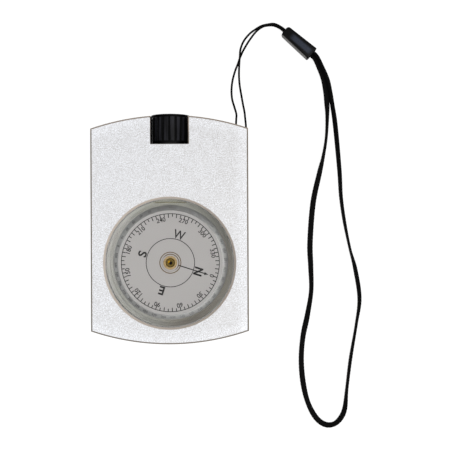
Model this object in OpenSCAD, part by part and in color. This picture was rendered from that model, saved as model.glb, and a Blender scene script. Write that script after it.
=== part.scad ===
// Hand-held sighting compass with a wrist lanyard.
// It lies on its back. +Z is up through the dial window, +Y points to the eyepiece end,
// and +X is to the right when the dial is read with the eyepiece away from the reader.
// The origin is under the middle of the block, on the surface it lies on. Millimetres.

/* [Block] */
// Width of the aluminium block
body_w = 52; // [50:0.5:56]
// Length of the block between the tops of its two curved ends
body_l = 75.5; // [74:0.5:82]
// Thickness of the block
body_t = 15; // [14.4:0.2:17]
// Radius of the curved ends, seen from the front
end_r = 80; // [65:1:110]
// Radius of the four upright corners
corner_r = 0.8; // [0.6:0.1:2]
// Bevel along the front and back edges
edge_bevel = 0.5; // [0.2:0.1:0.6]
// Thickness of the back plate
plate_t = 0.8; // [0.6:0.1:1]
// Margin of the block's back that shows round the plate
plate_margin = 1.9; // [1.4:0.1:2.4]
// Radius of the plate's corners
plate_corner_r = 1.5; // [1:0.1:3]
// Strip of the block's back between the plate and the eyepiece notch
plate_strip = 2; // [1.5:0.1:2.3]

/* [Capsule] */
// Wall between the capsule's bore and the middle of the plain end
end_wall = 5.5; // [4.7:0.1:6.5]
// Bevel round the mouth of the capsule's bore
bore_bevel = 0.65; // [0.3:0.05:0.8]
// Radius of the clear capsule where it shows in the bore
capsule_r = 21.1; // [20.6:0.1:21.5]
// Thickness of the capsule's clear wall
capsule_wall = 1.5; // [1.4:0.1:1.9]
// Thickness of the window
window_t = 1.6; // [1.2:0.1:2]
// Depth of the window below the front face
window_drop = 0.3; // [0.1:0.1:0.6]
// Bevel round the window
window_bevel = 0.25; // [0.1:0.05:0.4]
// Depth of the flat facet that the eyepiece looks through
facet_depth = 0.9; // [0.4:0.1:1.2]
// How far the capsule's flange reaches past its wall
flange_w = 1.4; // [0.8:0.1:1.6]
// Thickness of the cover's flange
flange_t = 1.4; // [1.2:0.1:1.6]
// Thickness of the base's flange
base_t = 1.4; // [1.2:0.1:1.6]
// Height of the base's spigot inside the cover
spigot_h = 1; // [0.9:0.05:1.1]
// Width of the seal between cover and base
seal_w = 0.7; // [0.5:0.1:0.9]
// Height of the seal
seal_h = 0.6; // [0.4:0.1:0.8]
// Thickness of the retaining ring behind the capsule
ring_t = 1.4; // [1.2:0.1:1.5]
// Width of the retaining ring
ring_w = 4; // [3:0.5:6]
// Width of the two spanner notches in the ring
ring_notch_w = 2.4; // [1.5:0.1:3]
// Depth of the two spanner notches
ring_notch_d = 1.5; // [1:0.1:2]
// Radius of the filler plug
filler_r = 1; // [0.8:0.1:1.4]
// Distance of the filler plug from the capsule's centre
filler_from_centre = 13; // [8:0.5:16]

/* [Card] */
// Gap between the foot of the card's skirt and the capsule's inside
card_gap = 0.4; // [0.3:0.05:1.2]
// Thickness of the card
card_t = 0.4; // [0.3:0.05:0.6]
// Height of the conical skirt that the eyepiece reads
skirt_h = 4.2; // [3.6:0.1:4.4]
// How much wider the skirt is at its foot than at the card's face
skirt_flare = 1.8; // [1:0.1:1.9]
// Radius of the brass hub's flange
hub_r = 2.3; // [2.1:0.1:2.8]
// Thickness of the hub's flange
hub_t = 0.35; // [0.3:0.05:0.6]
// Radius of the hub's shank through the card
hub_shank_r = 1.65; // [1.5:0.05:1.8]
// Depth of the hub's shank under the card's face
hub_shank_h = 1.2; // [0.8:0.1:1.4]
// Radius of the sunk middle of the hub
hub_sink_r = 1.45; // [1.2:0.05:1.5]
// Depth of the sunk middle of the hub
hub_sink = 0.2; // [0.1:0.05:0.25]
// Radius of the jewel cup
jewel_r = 0.9; // [0.8:0.05:1]
// Height of the jewel cup
jewel_h = 1.2; // [1:0.1:1.25]
// Radius of the hollow under the jewel
jewel_hollow_r = 0.6; // [0.5:0.05:0.7]
// Depth of the hollow under the jewel
jewel_hollow_h = 0.65; // [0.5:0.05:0.7]
// Outer radius of the ring magnet
magnet_r = 5.2; // [4:0.1:7]
// Thickness of the ring magnet
magnet_t = 1.6; // [1.2:0.1:1.8]
// Radius of the balance weight
weight_r = 0.9; // [0.6:0.1:1.4]
// Thickness of the balance weight
weight_t = 0.5; // [0.3:0.05:0.8]
// Distance of the balance weight from the card's centre
weight_from_centre = 12; // [9:0.5:14]
// Direction of the card's north mark, turned from +X
north_turn = -17.8; // [-180:0.1:180]

/* [Pivot] */
// Radius of the brass post
post_r = 1.2; // [1:0.1:1.4]
// Radius of the post's shoulder on the capsule floor
post_shoulder_r = 2.4; // [2:0.1:3]
// Thickness of the post's shoulder
post_shoulder_t = 0.6; // [0.4:0.1:0.8]
// Radius of the steel needle
needle_r = 0.35; // [0.25:0.05:0.45]
// Length of the needle's point
needle_point = 0.9; // [0.7:0.05:1]
// Length of the needle that shows above the post, with its point
needle_out = 1.6; // [1.5:0.05:1.7]
// Length of the needle inside the post
needle_in = 1.5; // [1:0.1:1.6]

/* [Eyepiece] */
// Length of the notch at the eyepiece end
notch_l = 9.5; // [9:0.1:10.4]
// Bevel along the notch's edges on the front and back faces
notch_bevel = 0.1; // [0.05:0.05:0.4]
// How far the barrel stands out past the middle of the curved end
barrel_proud = 0.5; // [0.4:0.1:0.8]
// Radius of the barrel over its ribs
barrel_r = 6.05; // [5.9:0.05:6.3]
// Number of ribs round the barrel
rib_count = 18; // [12:2:24]
// Radius of the round grooves between the ribs
groove_r = 0.34; // [0.2:0.02:0.4]
// Length of the barrel's smooth collar beside the notch floor
collar_l = 1.15; // [0.8:0.05:1.5]
// Length of the barrel's smooth band at the eye end
band_l = 0.8; // [0.7:0.05:1.2]
// Radius of the rim at the eye end, outside the notch
rim_r = 6.5; // [6.3:0.05:6.7]
// Bevel of the rim's two edges
rim_bevel = 0.1; // [0.05:0.05:0.1]
// Radius of the threaded stub
stub_r = 3.9; // [3.8:0.05:4.1]
// Land at the stub's inner end
stub_land = 1; // [0.8:0.1:1.2]
// Radius of the sight line's bore
sight_r = 2.2; // [1.8:0.1:2.4]
// Radius of the eye cup at the barrel's outer end
eyecup_r = 4.9; // [4.8:0.05:5]
// Depth of the eye cup in front of the retainer
eyecup_h = 1; // [0.6:0.1:1.2]
// Thickness of the lens retainer
retainer_t = 1.2; // [1:0.1:1.4]
// Radius of the lens
lens_r = 4.3; // [4.2:0.05:4.5]
// Thickness of the lens at its rim
lens_t = 2.4; // [2:0.1:2.6]
// Radius of the lens's curved middle
lens_clear_r = 3.3; // [3:0.1:3.4]
// Height of the lens's curve on each side
lens_bulge = 0.5; // [0.3:0.05:0.6]
// How far the eyepiece moves out over its turning
focus_travel = 1; // [0.6:0.1:1.2]
// Thickness of the rubber ring on the stub
seal_cord = 0.72; // [0.6:0.02:0.76]
// Depth of the grooves in the stub
stub_groove = 0.8; // [0.76:0.02:0.9]
// Radius of the stop screw
screw_r = 0.9; // [0.8:0.05:1]
// Radius of the stop screw's tip
screw_tip_r = 0.5; // [0.4:0.05:0.6]

/* [Lanyard] */
// Radius of the pin in the corner
pin_r = 1.3; // [1:0.1:1.4]
// Length of the pin
pin_l = 8.8; // [7:0.1:10]
// Distance of the pin from the block's side
pin_from_side = 2.2; // [2.1:0.1:2.6]
// Distance of the pin from the curved end beside it
pin_from_end = 2.2; // [2:0.05:2.6]
// Height of the slot's floor above the back
slot_z = 3; // [2.4:0.1:3.2]
// Height of the slot
slot_h = 2.6; // [2.2:0.1:3]
// Width of the slot from the block's side
slot_w = 5.4; // [5.2:0.1:6]
// Depth of the slot behind the pin's centre
slot_d = 3.2; // [2.8:0.1:4]
// Diameter of the thin string
string_d = 0.6; // [0.4:0.05:0.6]
// Slack of the string's bend round the pin
string_slack = 0.2; // [0.15:0.05:0.25]
// Width of the flat wrist cord
cord_w = 1.8; // [1.4:0.1:1.9]
// Thickness of the flat wrist cord
cord_t = 0.85; // [0.6:0.05:0.9]
// Length of the bead
bead_l = 12.5; // [11:0.5:13]
// Width of the bead at the wrist cord's end
bead_w = 5; // [4.4:0.1:5.2]
// Width of the bead at the string's end
bead_w_string = 3.9; // [3.7:0.1:4.6]
// Height of the bead
bead_h = 3.6; // [3.2:0.1:4]
// Radius of the bead's edges
bead_edge_r = 0.6; // [0.5:0.1:1]
// Width of the cut along the edges of the bead's two ends
bead_end_cut = 0.25; // [0.2:0.05:0.4]
// Depth of the bead's two mouths
mouth_d = 1; // [0.6:0.1:1.6]

/* [Fits] */
// Gap all round the capsule in its bore
capsule_gap = 0.15; // [0.1:0.05:0.3]
// Gap all round the back plate in its recess
plate_gap = 0.1; // [0.05:0.05:0.2]
// Gap of pieces that are glued or screwed into each other
seat_gap = 0.03; // [0.02:0.01:0.05]
// Gap of the eyepiece's stub in its bore
running_gap = 0.05; // [0.03:0.01:0.08]
// Gap between the barrel and the notch's sides and floor
notch_gap = 0.15; // [0.1:0.05:0.2]
// Gap between the needle's tip and the jewel
tip_gap = 0.08; // [0.05:0.01:0.12]
// Gap between the stop screw's tip and the walls of its groove
stop_gap = 0.1; // [0.05:0.05:0.2]

/* [Hidden] */
$fn = 120;

// Every cutting tool runs past the face that it opens by this much
overrun = 1;

// Where the curved end lies at a distance from the block's middle line
function end_y(x) = body_l / 2 - end_r + sqrt(pow(end_r, 2) - pow(x, 2));

// Heights of the capsule's stack, from the back
ring_z = plate_t;
base_z = ring_z + ring_t;
seam_z = base_z + base_t;
shoulder_z = seam_z + flange_t;
floor_z = seam_z + spigot_h;
base_top = seam_z - seat_gap;
window_top = body_t - window_drop;
window_z = window_top - window_t;
bore_r = capsule_r + capsule_gap;
capsule_offset = body_l / 2 - end_wall - bore_r;
flange_r = capsule_r + flange_w;
cavity_r = capsule_r - capsule_wall;
spigot_r = cavity_r - seat_gap;

// The sight line runs along Y at half the block's thickness, and the skirt is centred on it
sight_z = body_t / 2;
card_top = sight_z + skirt_h / 2;
card_under = card_top - card_t;
skirt_z = sight_z - skirt_h / 2;
skirt_r = cavity_r - card_gap;
card_r = skirt_r - skirt_flare;
hub_shank_z = card_top - hub_shank_h;
hub_top = card_top + hub_t;
jewel_top = hub_top - hub_sink;
jewel_z = jewel_top - jewel_h;
magnet_hole_r = hub_shank_r + seat_gap;
tip_z = jewel_z + jewel_hollow_h - tip_gap;
post_top = tip_z - needle_out;

// Places along the sight line
notch_y = body_l / 2 - notch_l;
notch_half = barrel_r + notch_gap;
barrel_y = notch_y + notch_gap;
barrel_end = body_l / 2 + barrel_proud;
rib_y = barrel_y + collar_l;
band_y = barrel_end - band_l;
rim_y = end_y(notch_half) + notch_gap;
retainer_y = barrel_end - eyecup_h - retainer_t;
lens_y = retainer_y - lens_t;
lens_pocket_r = lens_r + seat_gap;
groove_floor_r = stub_r - stub_groove;
stub_wall = 0.6;
seal_groove_end = notch_y - stub_wall;
seal_groove_y = seal_groove_end - seal_cord - 2 * seat_gap;
stop_groove_end = seal_groove_y - stub_wall;
stop_y = stop_groove_end - stop_gap - screw_tip_r;
stop_groove_y = stop_y - screw_tip_r - stop_gap - focus_travel;
stub_end = stop_groove_y - stub_land;
stub_bore_y = stub_end - notch_gap;

// Heights of the stop screw: its body ends under the stub's bore, its tip inside the groove
screw_body_top = sight_z - stub_r - running_gap - stub_wall;
screw_tip_top = sight_z - groove_floor_r - stop_gap;

// Place of the back plate's straight edge
plate_end = notch_y - plate_strip;

// Places of the lanyard's pin and slot
pin_x = body_w / 2 - pin_from_side;
pin_y = end_y(pin_x) - pin_from_end;
pin_inset = 0.1;
slot_mid = slot_z + slot_h / 2;
string_bend_r = pin_r + string_d / 2 + string_slack;

// Place and direction of the bead, from the string's end to the wrist cord's end
bead_x = 43.6;
bead_y = 63.9;
bead_turn = -40.9;
bead_mid = bead_h / 2;
strand_gap = 0.05;
string_pitch = string_d + strand_gap;
cord_pitch = 1.15;
cord_lead = 1.5;
cord_lead_turn = 50;

// A point on the bead's own axes: along its length, across it, at its middle height
function on_bead(along, across, turn = 0) = [
    bead_x + along * cos(bead_turn) - across * sin(bead_turn),
    bead_y + along * sin(bead_turn) + across * cos(bead_turn),
    bead_mid,
    turn
];

// Routes of the two cords: x, y, height and how far the flat side is turned up, in degrees
string_in = bead_l / 2 - mouth_d;
string_out = bead_l / 2 + cord_lead;
string_route = concat(
    [on_bead(-string_in, -string_pitch / 2), on_bead(-string_out, -string_pitch / 2)],
    [
        [35.4, 69.9, 1, 0], [33.3, 70.1, 0.4, 0], [31.3, 69.6, 0.3, 0], [29.2, 68, 0.3, 0],
        [27.1, 65.3, 0.3, 0], [25.7, 63.1, 0.4, 0], [24.5, 60.9, 0.8, 0], [23.6, 58.8, 1, 0],
        [22.9, 56.8, 0.8, 0], [22, 54.6, 0.3, 0], [21.1, 51.4, 0.3, 0], [20.7, 48, 0.3, 0],
        [20.9, 44.8, 0.5, 0], [21.7, 41.8, 1.3, 0], [22.3, 39.3, 2.6, 0], [22.2, 36.9, 3.9, 0]
    ],
    [for (a = [180:45:360]) [
        pin_x + string_bend_r * cos(a), pin_y + string_bend_r * sin(a), slot_mid, 0
    ]],
    [
        [25.5, 35.3, 4.2, 0], [25.3, 37.8, 3.3, 0], [25.1, 40.1, 2.1, 0], [24.6, 43, 1, 0],
        [24, 46.6, 0.4, 0], [23.5, 49.8, 0.3, 0], [23.3, 53, 0.3, 0], [23.4, 56.4, 0.3, 0],
        [23.6, 59.4, 0.3, 0], [23.9, 62.2, 0.3, 0], [25.1, 65, 0.3, 0], [27.1, 67.4, 0.3, 0],
        [29.2, 68.9, 0.5, 0], [31.1, 69.9, 0.9, 0], [33.3, 70.4, 1, 0], [35.5, 70.4, 1.7, 0]
    ],
    [on_bead(-string_out, string_pitch / 2), on_bead(-string_in, string_pitch / 2)]
);
wrist_route = concat(
    [
        on_bead(string_in, -cord_pitch / 2, cord_lead_turn),
        on_bead(string_out, -cord_pitch / 2, cord_lead_turn)
    ],
    [
        [50.6, 55.6, 0.8, 48], [52.2, 51.6, 0.7, 36], [53.1, 47.3, 0.6, 22], [53.5, 43.5, 0.6, 15],
        [53.6, 38.7, 0.8, 50], [53.2, 31.3, 0.9, 70], [52.1, 24.6, 0.8, 57], [50.8, 19, 0.6, 22],
        [48.6, 8.8, 0.5, 0], [47.5, -4.7, 0.5, 0], [47.7, -13, 0.6, -28], [47.8, -21.2, 0.8, -48],
        [46.5, -29.5, 0.6, -28], [44.9, -37.2, 0.6, 18], [44.3, -45, 0.6, 15], [44.9, -52.9, 0.5, 5],
        [46.5, -59.7, 0.6, 28], [49.2, -64.9, 0.5, 3], [52.3, -67.3, 0.6, 12], [55.4, -67.2, 0.7, 42],
        [57.8, -65.1, 0.6, 28], [59.2, -61.7, 0.7, 40], [59.9, -55, 0.9, 75], [61.2, -44.8, 0.9, 71],
        [63.2, -33.2, 0.9, 84], [64.4, -23.9, 0.8, 57], [63, -13.9, 0.8, 55], [61.2, -6.9, 0.9, 90],
        [59.4, 2.1, 0.9, 72], [58.2, 10.9, 0.9, 63], [57.7, 20.1, 0.8, 50], [56.4, 35.2, 0.7, 41],
        [55.4, 42.3, 0.8, 49], [54.6, 47, 0.7, 42], [53.6, 51.4, 0.7, 36], [51.6, 56.2, 0.8, 48]
    ],
    [
        on_bead(string_out, cord_pitch / 2, cord_lead_turn),
        on_bead(string_in, cord_pitch / 2, cord_lead_turn)
    ]
);

// Shared shapes

// Side outline of a disc with both rims bevelled, for turning about its axis
function disc_outline(r, t, bevel) = bevel == 0
    ? [[0, 0], [r, 0], [r, t], [0, t]]
    : [[0, 0], [r - bevel, 0], [r, bevel], [r, t - bevel], [r - bevel, t], [0, t]];

module disc(r, t, bevel) {
    rotate_extrude() polygon(disc_outline(r, t, bevel));
}

// What is cut away outside a rounded upright corner whose sides face +X and the given turn
module corner_waste(r, t, bevel, turn) {
    reach = 3 * r;
    difference() {
        translate([0, 0, -overrun])
            linear_extrude(height = t + 2 * overrun)
                polygon([
                    [0, 0], [reach, 0], [reach, reach], [reach * cos(turn), reach * sin(turn)]
                ]);
        disc(r, t, bevel);
    }
}

// The block's outline, set in all round, with bevelled faces and rounded corners
module arc_block(inset, t, bevel, round_r) {
    arc_r = end_r - inset;
    half_w = body_w / 2 - inset;
    centre_y = end_r - body_l / 2;
    round_x = half_w - round_r;
    round_span = sqrt(pow(arc_r - round_r, 2) - pow(round_x, 2));
    difference() {
        intersection() {
            translate([0, centre_y, 0]) disc(arc_r, t, bevel);
            translate([0, -centre_y, 0]) disc(arc_r, t, bevel);
            translate([0, body_l / 2, 0])
                rotate([90, 0, 0])
                    linear_extrude(height = body_l)
                        polygon([
                            [-half_w + bevel, 0], [half_w - bevel, 0], [half_w, bevel],
                            [half_w, t - bevel], [half_w - bevel, t], [-half_w + bevel, t],
                            [-half_w, t - bevel], [-half_w, bevel]
                        ]);
        }
        for (flip_x = [0, 1], flip_y = [0, 1])
            mirror([flip_x, 0, 0])
                mirror([0, flip_y, 0])
                    translate([round_x, round_span - centre_y, 0])
                        corner_waste(round_r, t, bevel, atan2(round_span, round_x));
    }
}

// The back plate's outline: straight beside the notch, with two square corners rounded
module plate_shape(grow, t) {
    half_w = body_w / 2 - plate_margin + grow;
    round_r = plate_corner_r + grow;
    end_y = plate_end + grow;
    difference() {
        arc_block(plate_margin - grow, t, 0, round_r);
        translate([-body_w, end_y, -overrun]) cube([2 * body_w, body_l, t + 2 * overrun]);
        for (flip_x = [0, 1])
            mirror([flip_x, 0, 0])
                translate([half_w - round_r, end_y - round_r, 0])
                    corner_waste(round_r, t, 0, 90);
    }
}

// Places a shape that is drawn along Z on the sight line, so that it runs along +Y from y
module on_sight_line(y) {
    translate([0, y, sight_z]) rotate([-90, 0, 0]) children();
}

// Places a shape on the capsule's upright axis
module on_capsule(z) {
    translate([0, -capsule_offset, z]) children();
}

// A tube swept along a route, eight-sided, with the route's own turn of its flat side
function route_point(route, i) = [route[i][0], route[i][1], route[i][2]];
function route_run(route, i) =
    route_point(route, min(i + 1, len(route) - 1)) - route_point(route, max(i - 1, 0));
function unit(v) = v / norm(v);
function tube_ring(route, i, width, height, sides) =
    let (
        run = unit(route_run(route, i)),
        side = unit(cross(run, [0, 0, 1])),
        lift = cross(side, run),
        turn = route[i][3]
    )
    [
        for (k = [0:sides - 1])
            let (
                a = 360 * (k + 1 / 2) / sides,
                flat = width / 2 * cos(a),
                thick = height / 2 * sin(a)
            )
            route_point(route, i)
                + side * (flat * cos(turn) - thick * sin(turn))
                + lift * (flat * sin(turn) + thick * cos(turn))
    ];
module cord_tube(route, width, height) {
    sides = 8;
    last = len(route) - 1;
    polyhedron(
        points = [for (i = [0:last]) each tube_ring(route, i, width, height, sides)],
        faces = concat(
            [[for (k = [sides - 1:-1:0]) k]],
            [
                for (i = [0:last - 1], k = [0:sides - 1])
                    let (a = i * sides + k, b = i * sides + (k + 1) % sides)
                    each [[a, b, b + sides], [a, b + sides, a + sides]]
            ],
            [[for (k = [0:sides - 1]) last * sides + k]]
        )
    );
}

// Block and back

// The eyepiece notch, with bevelled edges on the front and back faces
module notch_tool() {
    depth = notch_l + overrun;
    flare = notch_bevel + overrun;
    translate([-notch_half, notch_y, -overrun])
        cube([2 * notch_half, depth, body_t + 2 * overrun]);
    for (flip_z = [0, 1])
        translate([0, 0, flip_z * body_t])
            mirror([0, 0, flip_z])
                intersection() {
                    translate([0, notch_y + depth, 0])
                        rotate([90, 0, 0])
                            linear_extrude(height = depth + flare)
                                polygon([
                                    [-notch_half, notch_bevel], [-notch_half - flare, -overrun],
                                    [notch_half + flare, -overrun], [notch_half, notch_bevel]
                                ]);
                    translate([-notch_half - flare, 0, 0])
                        rotate([90, 0, 90])
                            linear_extrude(height = 2 * (notch_half + flare))
                                polygon([
                                    [notch_y, notch_bevel], [notch_y - flare, -overrun],
                                    [notch_y + depth, -overrun], [notch_y + depth, notch_bevel]
                                ]);
                }
}

module housing() color("gainsboro") difference() {
    arc_block(0, body_t, edge_bevel, corner_r);
    on_capsule(-overrun) cylinder(r = bore_r, h = body_t + 2 * overrun);
    on_capsule(body_t - bore_bevel)
        cylinder(r1 = bore_r, r2 = bore_r + bore_bevel + overrun, h = bore_bevel + overrun);
    on_capsule(-overrun) cylinder(r = flange_r + capsule_gap, h = shoulder_z + overrun);
    translate([0, 0, -overrun]) plate_shape(plate_gap, plate_t + overrun);
    notch_tool();
    on_sight_line(-capsule_offset) cylinder(r = sight_r, h = notch_y + capsule_offset + overrun);
    on_sight_line(stub_bore_y)
        cylinder(r = stub_r + running_gap, h = notch_y - stub_bore_y + overrun);
    translate([0, stop_y, 0]) cylinder(r = screw_r + seat_gap, h = screw_body_top);
    translate([0, stop_y, 0]) cylinder(r = screw_tip_r + seat_gap, h = sight_z);
    translate([pin_x, pin_y, -overrun]) cylinder(r = pin_r, h = pin_l + pin_inset + overrun);
    translate([body_w / 2 - slot_w, pin_y - slot_d, slot_z])
        cube([slot_w + overrun, slot_d + body_l / 2 - pin_y + overrun, slot_h]);
}

module back_plate() color("silver") plate_shape(0, plate_t);

module retaining_ring() color("dimgray") on_capsule(ring_z) difference() {
    cylinder(r = flange_r, h = ring_t);
    translate([0, 0, -overrun]) cylinder(r = flange_r - ring_w, h = ring_t + 2 * overrun);
    for (side = [0, 1])
        mirror([side, 0, 0])
            translate([0, -ring_notch_w / 2, -overrun])
                cube([flange_r - ring_w + ring_notch_d, ring_notch_w, ring_t + 2 * overrun]);
}

// Capsule

module capsule_cover() color([0.8, 0.86, 0.82, 0.4]) difference() {
    on_capsule(0) rotate_extrude() polygon([
        [cavity_r + seal_w, seam_z], [flange_r, seam_z], [flange_r, shoulder_z],
        [capsule_r, shoulder_z], [capsule_r, window_top - window_bevel],
        [capsule_r - window_bevel, window_top], [0, window_top], [0, window_z],
        [cavity_r, window_z], [cavity_r, seam_z + seal_h], [cavity_r + seal_w, seam_z + seal_h]
    ]);
    translate([-capsule_r, capsule_r - capsule_offset - facet_depth, shoulder_z])
        cube([2 * capsule_r, capsule_r, window_z - shoulder_z]);
}

module capsule_base() color([0.85, 0.87, 0.85]) on_capsule(0) difference() {
    union() {
        translate([0, 0, base_z]) cylinder(r = flange_r, h = base_top - base_z);
        translate([0, 0, base_z]) cylinder(r = spigot_r, h = floor_z - base_z);
    }
    translate([0, 0, base_z - overrun]) cylinder(r = post_r, h = base_t + spigot_h + 2 * overrun);
    translate([filler_from_centre, 0, base_z - overrun])
        cylinder(r = filler_r + seat_gap, h = base_t + spigot_h + 2 * overrun);
}

module capsule_seal() color([0.6, 0.61, 0.58]) on_capsule(base_top) difference() {
    cylinder(r = cavity_r + seal_w - seat_gap, h = seal_h);
    translate([0, 0, -overrun]) cylinder(r = cavity_r, h = seal_h + 2 * overrun);
}

module filler_plug() color("darkseagreen")
    translate([filler_from_centre, -capsule_offset, base_z])
        cylinder(r = filler_r, h = base_t + spigot_h);

// Pivot

module pivot_post() color("goldenrod") on_capsule(0) difference() {
    union() {
        translate([0, 0, base_z]) cylinder(r = post_r, h = post_top - base_z);
        translate([0, 0, floor_z]) cylinder(r = post_shoulder_r, h = post_shoulder_t);
    }
    translate([0, 0, post_top - needle_in]) cylinder(r = needle_r, h = needle_in + overrun);
}

module pivot_needle() color("lightsteelblue") on_capsule(0) {
    translate([0, 0, post_top - needle_in])
        cylinder(r = needle_r, h = needle_in + needle_out - needle_point);
    translate([0, 0, tip_z - needle_point])
        cylinder(r1 = needle_r, r2 = 0, h = needle_point);
}

// Card

module compass_card() color("whitesmoke") on_capsule(0) rotate_extrude() polygon([
    [magnet_hole_r, card_under], [card_r - card_t, card_under], [skirt_r - card_t, skirt_z],
    [skirt_r, skirt_z], [card_r, card_top], [magnet_hole_r, card_top]
]);

module card_hub() color("goldenrod") on_capsule(0) rotate_extrude() polygon([
    [jewel_r, hub_shank_z], [hub_shank_r, hub_shank_z], [hub_shank_r, card_top],
    [hub_r, card_top], [hub_r, hub_top], [hub_sink_r, hub_top], [hub_sink_r, jewel_top],
    [jewel_r, jewel_top]
]);

module jewel_cup() color("crimson") on_capsule(0) rotate_extrude() polygon([
    [0, jewel_z + jewel_hollow_h], [jewel_hollow_r, jewel_z], [jewel_r, jewel_z],
    [jewel_r, jewel_top], [0, jewel_top]
]);

module card_magnet() color("slategray") on_capsule(card_under - magnet_t) difference() {
    cylinder(r = magnet_r, h = magnet_t);
    translate([0, 0, -overrun]) cylinder(r = magnet_hole_r, h = magnet_t + 2 * overrun);
}

module balance_weight() color("darkgoldenrod") on_capsule(card_under - weight_t)
    rotate([0, 0, north_turn])
        translate([-weight_from_centre, 0, 0]) cylinder(r = weight_r, h = weight_t);

// Eyepiece

module eyepiece_barrel() color([0.1, 0.1, 0.1]) difference() {
    union() {
        on_sight_line(barrel_y) cylinder(r = barrel_r, h = collar_l);
        on_sight_line(rib_y)
            linear_extrude(height = band_y - rib_y)
                difference() {
                    circle(r = barrel_r);
                    for (i = [0:rib_count - 1])
                        rotate([0, 0, 360 * i / rib_count])
                            translate([0, barrel_r]) circle(r = groove_r, $fn = 24);
                }
        on_sight_line(band_y) cylinder(r = barrel_r, h = band_l - rim_bevel);
        on_sight_line(rim_y) disc(rim_r, barrel_end - rim_y, rim_bevel);
        on_sight_line(stub_end) cylinder(r = stub_r, h = barrel_y - stub_end);
    }
    on_sight_line(stub_end - overrun)
        cylinder(r = sight_r, h = lens_y - stub_end + 2 * overrun);
    on_sight_line(lens_y - 2 * lens_bulge)
        cylinder(r = lens_clear_r, h = 2 * lens_bulge + overrun);
    on_sight_line(lens_y) cylinder(r = lens_pocket_r, h = lens_t + overrun);
    on_sight_line(retainer_y)
        cylinder(r = eyecup_r, h = retainer_t + eyecup_h + overrun);
    stub_groove_tool(seal_groove_y, seal_groove_end);
    stub_groove_tool(stop_groove_y, stop_groove_end);
}

// Cuts a groove round the stub between two places along the sight line
module stub_groove_tool(from_y, to_y) {
    on_sight_line(from_y) difference() {
        cylinder(r = stub_r + overrun, h = to_y - from_y);
        translate([0, 0, -overrun]) cylinder(r = groove_floor_r, h = to_y - from_y + 2 * overrun);
    }
}

module eyepiece_lens() color([0.75, 0.85, 0.95, 0.5]) on_sight_line(lens_y) {
    curve_r = (pow(lens_clear_r, 2) + pow(lens_bulge, 2)) / (2 * lens_bulge);
    union() {
        cylinder(r = lens_r, h = lens_t);
        intersection() {
            translate([0, 0, -lens_bulge]) cylinder(r = lens_clear_r, h = lens_t + 2 * lens_bulge);
            translate([0, 0, curve_r - lens_bulge]) sphere(r = curve_r);
            translate([0, 0, lens_t + lens_bulge - curve_r]) sphere(r = curve_r);
        }
    }
}

module lens_retainer() color([0.2, 0.2, 0.2]) on_sight_line(retainer_y) difference() {
    cylinder(r = eyecup_r - seat_gap, h = retainer_t);
    translate([0, 0, -overrun]) cylinder(r = lens_clear_r, h = retainer_t + 2 * overrun);
}

module eyepiece_seal() color([0.15, 0.15, 0.15])
    on_sight_line(seal_groove_y + seat_gap + seal_cord / 2)
        rotate_extrude()
            translate([groove_floor_r + seat_gap + seal_cord / 2, 0])
                circle(r = seal_cord / 2, $fn = 24);

module stop_screw() color("lightsteelblue") translate([0, stop_y, plate_t]) {
    cylinder(r = screw_r, h = screw_body_top - plate_t);
    cylinder(r = screw_tip_r, h = screw_tip_top - plate_t);
}

// Lanyard

module lanyard_pin() color("silver") translate([pin_x, pin_y, pin_inset])
    cylinder(r = pin_r, h = pin_l);

module lanyard_string() color([0.07, 0.07, 0.07]) cord_tube(string_route, string_d, string_d);

module wrist_cord() color([0.07, 0.07, 0.07]) cord_tube(wrist_route, cord_w, cord_t);

module strap_bead() color([0.12, 0.12, 0.13])
    translate([bead_x, bead_y, 0]) rotate([0, 0, bead_turn]) difference() {
        hull()
            for (end = [-1, 1], side = [-1, 1], level = [bead_edge_r, bead_h - bead_edge_r])
                translate([
                    end * bead_l / 2,
                    side * ((end < 0 ? bead_w_string : bead_w) / 2 - bead_edge_r),
                    level
                ])
                    rotate([0, -90 * end, 0]) bead_corner();
        bead_mouth(-1, 2 * string_d + string_pitch, 2 * string_d);
        bead_mouth(1, cord_pitch + cord_w, cord_w);
    }

// A short piece of one rounded corner of the bead, widening inwards from the end face
module bead_corner() cylinder(
    r1 = bead_edge_r - bead_end_cut,
    r2 = bead_edge_r,
    h = bead_end_cut,
    $fn = 24
);

// The mouth at one end of the bead where both strands of a cord go in
module bead_mouth(end, width, height) {
    mirror([end < 0 ? 1 : 0, 0, 0])
        translate([bead_l / 2 - mouth_d, -width / 2, bead_mid - height / 2])
            cube([mouth_d + overrun, width, height]);
}

housing();
back_plate();
capsule_cover();
capsule_base();
capsule_seal();
filler_plug();
retaining_ring();
pivot_post();
pivot_needle();
compass_card();
card_hub();
jewel_cup();
card_magnet();
balance_weight();
eyepiece_barrel();
eyepiece_lens();
lens_retainer();
eyepiece_seal();
stop_screw();
lanyard_pin();
lanyard_string();
strap_bead();
wrist_cord();
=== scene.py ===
"""The looks of a sighting compass with a wrist lanyard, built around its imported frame."""
import math

import bmesh
import bpy
from mathutils import Matrix, Vector


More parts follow.
